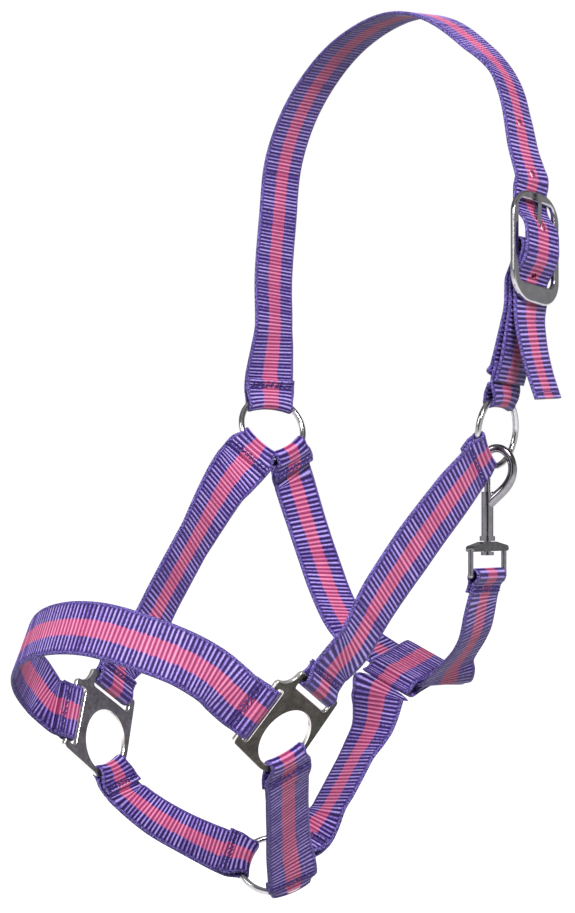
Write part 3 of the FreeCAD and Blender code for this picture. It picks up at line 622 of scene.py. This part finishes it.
class Tree:
    """Short ways to add shader nodes. Their sockets take a number, a colour or a link."""

    def __init__(self, mat):
        self.tree = mat.node_tree

    def link(self, a, b):
        self.tree.links.new(a, b)

    def fill(self, sockets, items):
        for socket, item in zip(sockets, items):
            if isinstance(item, (int, float, tuple)):
                socket.default_value = item
            else:
                self.link(item, socket)

    def value(self, name):
        node = self.tree.nodes.new("ShaderNodeAttribute")
        node.attribute_name = name
        return node.outputs["Fac"]

    def math(self, kind, *items):
        node = self.tree.nodes.new("ShaderNodeMath")
        node.operation = kind
        self.fill(node.inputs, items)
        return node.outputs[0]

    def add(self, a, b):
        return self.math("ADD", a, b)

    def times(self, a, b):
        return self.math("MULTIPLY", a, b)

    def mix(self, share, a, b, kind="MIX"):
        node = self.tree.nodes.new("ShaderNodeMix")
        node.data_type = "RGBA"
        node.blend_type = kind
        self.fill((node.inputs[0], node.inputs[6], node.inputs[7]), (share, a, b))
        return node.outputs[2]

    def ramp(self, x, low, high):
        node = self.tree.nodes.new("ShaderNodeMapRange")
        node.interpolation_type = "SMOOTHSTEP"
        self.fill(node.inputs[:3], (x, low, high))
        return node.outputs[0]

    def vector(self, *items):
        node = self.tree.nodes.new("ShaderNodeCombineXYZ")
        self.fill(node.inputs, items)
        return node.outputs[0]

    def noise(self, where, scale, detail=2.0, rough=0.5):
        node = self.tree.nodes.new("ShaderNodeTexNoise")
        node.inputs["Scale"].default_value = scale
        node.inputs["Detail"].default_value = detail
        node.inputs["Roughness"].default_value = rough
        self.link(where, node.inputs["Vector"])
        return node.outputs["Fac"]

    def position(self):
        return self.tree.nodes.new("ShaderNodeTexCoord").outputs["Object"]

    def bump(self, height, strength, distance):
        node = self.tree.nodes.new("ShaderNodeBump")
        node.inputs["Strength"].default_value = strength
        node.inputs["Distance"].default_value = distance
        self.link(height, node.inputs["Height"])
        return node.outputs[0]


def make_webbing_material():
    """Purple ribs with a pink stripe down the middle and speckled, knitted edges. Each rib's valley is
    painted dark as shade, its crest lighter as painted light, and its top carries a painted highlight.
    """
    mat, shader = material("webbing")
    t = Tree(mat)
    spread = t.value("spread")
    along = t.value("along")
    rib = t.value("rib")

    def grain(per_spread, per_along, offset, detail, rough=0.5):
        """Noise that is stretched along the ribs, which run across the strap."""
        where = t.vector(t.times(spread, per_spread), t.times(along, per_along), offset)
        return t.noise(where, 1.0, detail, rough)

    threads = grain(3.2, 0.7, 0.0, 3.0, 0.7)
    clumps = grain(0.75, 0.45, 2.0, 2.0, 0.6)
    broad = grain(0.12, 0.03, 5.0, 2.0)
    speckle = grain(2.0, 1.3, 9.0, 1.0)

    # The stripe's edge steps in and out from rib to rib.
    step = t.noise(t.vector(t.times(along, 0.9), 3.7, 0.0), 1.0, 0.0)
    wander = t.times(t.math("SUBTRACT", step, 0.5), 2.2)
    outward = t.math("ABSOLUTE", spread)
    stripe = t.ramp(t.add(outward, wander), STRIPE + 0.45, STRIPE - 0.45)

    # Each rib's valley is painted dark as shade and its crest light as painted light, unevenly along the rib
    # in clumps of filament, and its very top gets a painted highlight.
    crest = t.ramp(t.add(rib, t.times(t.math("SUBTRACT", threads, 0.5), 0.45)), 0.25, 1.0)
    painted_rib_shading = t.times(crest, t.ramp(clumps, 0.20, 0.55))
    purple = t.mix(painted_rib_shading, colour("22074f"), colour("8468d6"))
    # The pink stripe's ribs are painted the same way: dark valleys as painted shade, light crests as painted
    # light.
    pink = t.mix(crest, colour("a03468"), colour("e87aa6"))
    # Painted highlight on each rib's top: pale lavender on the purple, pale pink on the stripe.
    painted_highlight = t.ramp(t.add(rib, t.times(clumps, 0.30)), 0.88, 1.16)
    highlight_colour = t.mix(stripe, colour("c8b4fa"), colour("f49ac2"))
    base = t.mix(t.times(painted_highlight, 0.85), t.mix(stripe, purple, pink), highlight_colour)

    edge_colour = t.mix(t.ramp(speckle, 0.42, 0.62), colour("150a40"), colour("8d78d8"))
    base = t.mix(t.ramp(outward, *SPECKLED), base, edge_colour)
    shade = t.add(t.add(t.times(threads, 0.35), t.times(broad, 0.30)), 0.68)
    t.link(t.mix(1.0, base, t.vector(shade, shade, shade), "MULTIPLY"), shader.inputs["Base Color"])
    shader.inputs["Roughness"].default_value = 0.55
    shader.inputs["Specular IOR Level"].default_value = 0.32
    shader.inputs["Sheen Weight"].default_value = 0.06
    shader.inputs["Sheen Roughness"].default_value = 0.4
    t.link(t.bump(threads, 0.5, 0.0004), shader.inputs["Normal"])
    return mat


def make_thread_material():
    mat, shader = material("thread")
    t = Tree(mat)
    n = t.noise(t.position(), 2200.0)
    t.link(t.mix(n, colour("20104e"), colour("4b3690")), shader.inputs["Base Color"])
    shader.inputs["Roughness"].default_value = 0.6
    t.link(t.bump(n, 0.4, 0.0002), shader.inputs["Normal"])
    return mat


def make_nickel_material(name, dark, bright):
    """Polished plating, a little cloudy."""
    mat, shader = material(name)
    t = Tree(mat)
    n = t.noise(t.position(), 260.0, 4.0, 0.6)
    fine = t.noise(t.position(), 1800.0)
    t.link(t.mix(n, colour(dark), colour(bright)), shader.inputs["Base Color"])
    shader.inputs["Metallic"].default_value = 1.0
    t.link(t.add(t.times(n, 0.10), 0.10), shader.inputs["Roughness"])
    t.link(t.bump(fine, 0.05, 0.0002), shader.inputs["Normal"])
    return mat


def make_plate_material(name, frame, dark, bright):
    """Dull flat faces between two colours, and edges painted bright as a highlight."""
    mat, shader = material(name)
    t = Tree(mat)
    geometry = t.tree.nodes.new("ShaderNodeNewGeometry")
    transform = t.tree.nodes.new("ShaderNodeVectorTransform")
    transform.vector_type = "NORMAL"
    transform.convert_from = "WORLD"
    transform.convert_to = "OBJECT"
    dot = t.tree.nodes.new("ShaderNodeVectorMath")
    dot.operation = "DOT_PRODUCT"
    dot.inputs[1].default_value = tuple(frame.out)
    t.link(geometry.outputs["Normal"], transform.inputs[0])
    t.link(transform.outputs[0], dot.inputs[0])
    # Where the surface turns away from the plate's face, round its edges, the colour is painted bright as a
    # highlight.
    edge = t.ramp(t.math("ABSOLUTE", dot.outputs["Value"]), 0.93, 0.72)
    n = t.noise(t.position(), 420.0, 5.0, 0.65)
    patch = t.noise(t.position(), 60.0, 3.0, 0.55)
    clouds = t.ramp(t.add(t.times(n, 0.5), t.times(patch, 0.5)), 0.35, 0.7)
    face = t.mix(clouds, colour(dark), colour(bright))
    t.link(t.mix(edge, face, colour("d9d8d4")), shader.inputs["Base Color"])
    shader.inputs["Metallic"].default_value = 0.85
    rough = t.add(t.times(n, 0.15), 0.36)
    t.link(t.math("SUBTRACT", rough, t.times(edge, 0.22)), shader.inputs["Roughness"])
    t.link(t.bump(n, 0.12, 0.0003), shader.inputs["Normal"])
    return mat


webbing_material = make_webbing_material()
thread_material = make_thread_material()
nickel_material = make_nickel_material("nickel", "98969a", "b9b7ba")
snap_material = make_nickel_material("snap_nickel", "67656a", "8f8d92")
# The two plates are the same steel in two painted copies: the near one darker as painted shade, the off one
# lighter as painted light.
near_plate_shaded_material = make_plate_material("near_plate_steel_painted_shade", NEAR_PLATE, "24211e", "4b4741")
off_plate_lit_material = make_plate_material("off_plate_steel_painted_light", OFF_PLATE, "57545a", "837f87")


# ---- Straps ----
def arc_of(rows, point):
    """The distance along the strap at which it passes nearest to a point."""
    grid, at = resample(rows, FINE)
    middle = grid[:, grid.shape[1] // 2]
    return at[np.argmin(np.linalg.norm(middle - point, axis=1))]


plain = columns(17)
dense = columns(47)     # for the straps that have holes

crown_grid = crown_rows(dense)
# The tongue goes through the crown strap where the strap rises towards the centre bar.
tongue_up, tongue_out = crown_in_buckle[5]
tongue_at = arc_of(crown_grid, BUCKLE.at(0, tongue_up, tongue_out))
crown_holes = [(tongue_at, *TONGUE_HOLE)]
crown_holes += [(tongue_at + d, HOLE_R, HOLE_R) for d in (-2 * HOLE_PITCH, -HOLE_PITCH, HOLE_PITCH)]
webbing("crown_webbing", crown_grid, dense, "crown_strap", crown_holes, 3, (1.9, 2.5))

billet_grid = billet_rows(dense)
wrap_at = arc_of(billet_grid, BUCKLE.at(0, BUCKLE_BAR_R + FIT + HALF_T, BUCKLE_BAR_OUT))
webbing("buckle_webbing", billet_grid, dense, "buckle_strap", [(wrap_at, *BAR_SLOT)], 4)

# (name, CAD node, hold, stations, hold, rib spacing at each end)
two_ended = (
    ("off_cheek_webbing", "off_cheek_strap", off_cheek_top, off_cheek_route, off_cheek_foot, (2.75, 2.75)),
    ("near_cheek_webbing", "near_cheek_strap", near_cheek_top, near_cheek_route, near_cheek_foot,
     (2.8, 2.9)),
    ("nose_webbing", "noseband", off_nose_end, nose_route, near_nose_end, (2.0, 2.6)),
    ("off_chin_webbing", "off_chin_strap", off_chin_top, off_chin_route, off_chin_foot, (2.1, 2.2)),
    ("near_chin_webbing", "near_chin_strap", near_chin_top, near_chin_route, near_chin_foot, (2.5, 2.5)),
    ("throat_webbing", "throat_strap", throat_hold, throat_route, eye_hold, (2.75, 2.5)))
for seed, (name, node, start, route, end, ribs) in enumerate(two_ended, 10):
    webbing(name, between(start, route, end, plain), plain, node, seed=seed, ribs=ribs)
webbing("jowl_webbing", jowl_rows(plain), plain, "jowl_strap", seed=20, ribs=(2.3, 2.3))


# ---- Stitches ----
def capsules(name, parts, node):
    """Short threads in place of a CAD node: (start, end, radius) each as a smooth capsule."""
    points = []
    faces = []
    around = 8
    # (place, as a share of the half length; size, in radii) of each ring of points
    profile = [(-1.0, 0.02), (-1.0, 0.62), (-0.85, 1.0), (0.85, 1.0), (1.0, 0.62), (1.0, 0.02)]
    for start, end, radius in parts:
        axis = unit(end - start)
        half = np.linalg.norm(end - start) / 2
        middle = (start + end) / 2
        side = across(vec(0.31, 0.52, 0.79), axis)
        other = np.cross(axis, side)
        base = len(points)
        for place, size in profile:
            for k in range(around):
                turned = 2 * math.pi * k / around
                spoke = side * math.cos(turned) + other * math.sin(turned)
                points.append(middle + axis * (half * place) + spoke * (radius * size))
        for r in range(len(profile) - 1):
            for k in range(around):
                a = base + r * around + k
                b = base + r * around + (k + 1) % around
                faces.append((a, b, b + around, a + around))
    obj = smooth_object(name, points, faces, thread_material)
    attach(obj, "halter")
    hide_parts(node)


def sewing(seed, *holds):
    """Rows of machine stitches across both faces of each sewn joint."""
    rng = np.random.default_rng(seed)
    parts = []
    for hold in holds:
        for side in (1, -1):
            height = side * (LAY + HALF_T + 0.02)
            for row, past in enumerate(STITCH_ROWS):
                p = hold.sewn + past
                for i in range(STITCH_COUNT):
                    offset = (i - (STITCH_COUNT - 1) / 2 + 0.25 * row) * STITCH_PITCH + rng.normal(0, 0.2)
                    lean = rng.normal(0, 0.25)
                    a = hold.point(p + rng.normal(0, 0.15) - lean, height, offset - STITCH_HALF)
                    b = hold.point(p + rng.normal(0, 0.15) + lean, height, offset + STITCH_HALF)
                    parts.append((a, b, STITCH_R))
    return parts


def tail_row(rows, seed):
    """One row of stitches across the crown strap's free end, on both faces."""
    rng = np.random.default_rng(seed)
    back = unit(middle_of(rows[-2]) - middle_of(rows[-1]))
    width = unit(rows[-1][-1] - rows[-1][0])
    normal = np.cross(width, back)
    parts = []
    for side in (1, -1):
        for i in range(STITCH_COUNT):
            offset = (i - (STITCH_COUNT - 1) / 2) * TAIL_STITCH_PITCH
            centre = (middle_of(rows[-1]) + back * (TAIL_STITCH_IN + rng.normal(0, 0.12))
                      + width * offset + normal * (side * (HALF_T - 0.1)))
            parts.append((centre - width * STITCH_HALF, centre + width * STITCH_HALF, TAIL_STITCH_R))
    return parts


capsules("crown_sewing", sewing(31, crown_hold) + tail_row(crown_grid, 37), "crown_stitches")
capsules("cheek_sewing", sewing(32, off_cheek_top, off_cheek_foot, near_cheek_top, near_cheek_foot),
         "cheek_stitches")
capsules("nose_sewing", sewing(33, off_nose_end, near_nose_end), "nose_stitches")
capsules("chin_sewing", sewing(34, off_chin_top, off_chin_foot, near_chin_top, near_chin_foot),
         "chin_stitches")
capsules("throat_sewing", sewing(35, throat_hold, eye_hold), "throat_stitches")
capsules("jowl_sewing", sewing(36, jowl_foot), "jowl_stitches")


# ---- Metal ----
def ring_wire(name, frame, body, node):
    rings = 144
    sides = 28
    points = []
    faces = []
    for i in range(rings):
        turned = 2 * math.pi * i / rings
        spoke = frame.side * math.cos(turned) + frame.up * math.sin(turned)
        here = i * sides
        ahead = (i + 1) % rings * sides
        for j in range(sides):
            angle = 2 * math.pi * j / sides
            points.append(frame.origin + spoke * (RING_R + RING_WIRE * math.cos(angle))
                          + frame.out * (RING_WIRE * math.sin(angle)))
            beside = (j + 1) % sides
            faces.append((here + j, ahead + j, ahead + beside, here + beside))
    obj = smooth_object(name, points, faces, nickel_material)
    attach(obj, body)
    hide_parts(node)


def dress(node, mat):
    """Give a CAD node its material, smooth where its surface is and crisp at its edges."""
    obj = frame["nodes"][node]
    obj.data.materials.clear()
    obj.data.materials.append(mat)
    obj.data.polygons.foreach_set("use_smooth", np.ones(len(obj.data.polygons), bool))
    split = obj.modifiers.new("edges", "EDGE_SPLIT")
    split.split_angle = math.radians(32)
    split.use_edge_sharp = False


ring_wire("off_ring_wire", OFF_RING, "off_side_ring", "off_ring")
ring_wire("near_ring_wire", NEAR_RING, "near_side_ring", "near_ring")
ring_wire("lead_ring_wire", CHIN_RING, "lead_ring", "chin_ring")
dress("off_plate", off_plate_lit_material)
dress("near_plate", near_plate_shaded_material)
for node in ("buckle_frame", "buckle_tongue", "snap_spring"):
    dress(node, nickel_material)
for node in ("snap_hook", "snap_bolt", "snap_eye"):
    dress(node, snap_material)


# ---- Stage ----
def stage_plane(name, points, shade, glow):
    """A flat four-cornered piece of the studio, in metres."""
    mesh = bpy.data.meshes.new(name)
    mesh.from_pydata(points, [], [(0, 1, 2, 3)])
    mat, shader = material(name)
    shader.inputs["Base Color"].default_value = (shade, shade, shade, 1)
    shader.inputs["Roughness"].default_value = 0.9
    shader.inputs["Emission Color"].default_value = (1, 1, 1, 1)
    shader.inputs["Emission Strength"].default_value = glow
    mesh.materials.append(mat)
    obj = bpy.data.objects.new(name, mesh)
    bpy.context.scene.collection.objects.link(obj)
    obj.visible_diffuse = False
    return obj


def reflection_card(name, left, right, glow):
    """An upright card between two (x, y) places, seen only in the metal's reflections."""
    low = -0.9
    high = 1.3
    card = stage_plane(name, [(*left, low), (*right, low), (*right, high), (*left, high)], 0.02, glow)
    card.visible_camera = False
    card.visible_shadow = False


def studio_world():
    """White round the horizon, dimmer overhead, so that metal shows dark and bright bands."""
    world = bpy.data.worlds.new("studio")
    bpy.context.scene.world = world
    world.use_nodes = True
    tree = world.node_tree
    background = tree.nodes["Background"]
    where = tree.nodes.new("ShaderNodeTexCoord")
    split = tree.nodes.new("ShaderNodeSeparateXYZ")
    height = tree.nodes.new("ShaderNodeMapRange")
    height.inputs[1].default_value = -1.0
    ramp = tree.nodes.new("ShaderNodeValToRGB")
    tree.links.new(where.outputs["Generated"], split.inputs[0])
    tree.links.new(split.outputs["Z"], height.inputs[0])
    tree.links.new(height.outputs[0], ramp.inputs[0])
    tree.links.new(ramp.outputs[0], background.inputs[0])
    # (height from straight down, 0, to straight up, 1; brightness)
    stops = ((0.0, 0.10), (0.44, 0.10), (0.48, 1.0), (0.57, 1.0), (0.63, 0.28), (0.82, 0.15), (1.0, 0.5))
    for place, level in stops[1:-1]:
        ramp.color_ramp.elements.new(place)
    for element, (place, level) in zip(ramp.color_ramp.elements, stops):
        element.color = (level, level, level, 1)


def soft_light(name, place, size, power):
    """A round lamp aimed at the halter's middle."""
    light = bpy.data.lights.new(name, "AREA")
    light.shape = "DISK"
    light.size = size
    light.energy = power
    obj = bpy.data.objects.new(name, light)
    bpy.context.scene.collection.objects.link(obj)
    obj.location = place
    aim = bpy.data.objects.new(name + "_aim", None)
    bpy.context.scene.collection.objects.link(aim)
    aim.location = (0, -0.1, -0.25)
    track = obj.constraints.new("TRACK_TO")
    track.target = aim
    track.track_axis = "TRACK_NEGATIVE_Z"
    track.up_axis = "UP_Y"


def add_camera():
    """A long lens, level, between the nose's side and the near side."""
    camera = bpy.data.cameras.new("camera")
    camera.lens = 153.1873
    camera.sensor_width = 36
    camera.clip_start = 0.05
    camera.clip_end = 60
    view = bpy.data.objects.new("camera", camera)
    bpy.context.scene.collection.objects.link(view)
    view.location = (1.4849, -1.5789, -0.245)
    view.rotation_euler = (math.radians(90), 0, math.radians(45))
    bpy.context.scene.camera = view


stage_plane("floor", [(-12, -12, -0.62), (12, -12, -0.62), (12, 12, -0.62), (-12, 12, -0.62)], 0.93, 0.8)
studio_world()
reflection_card("card", (3.6, -1.9), (1.9, -3.6), 0.0)
reflection_card("side_card", (2.3, 3.3), (0.7, 3.9), 0.36)
soft_light("key", (1.5, -0.9, 1.1), 0.7, 46)
soft_light("fill", (-0.3, -2.1, 0.9), 0.9, 16)
bpy.context.scene.view_settings.view_transform = "Standard"
add_camera()
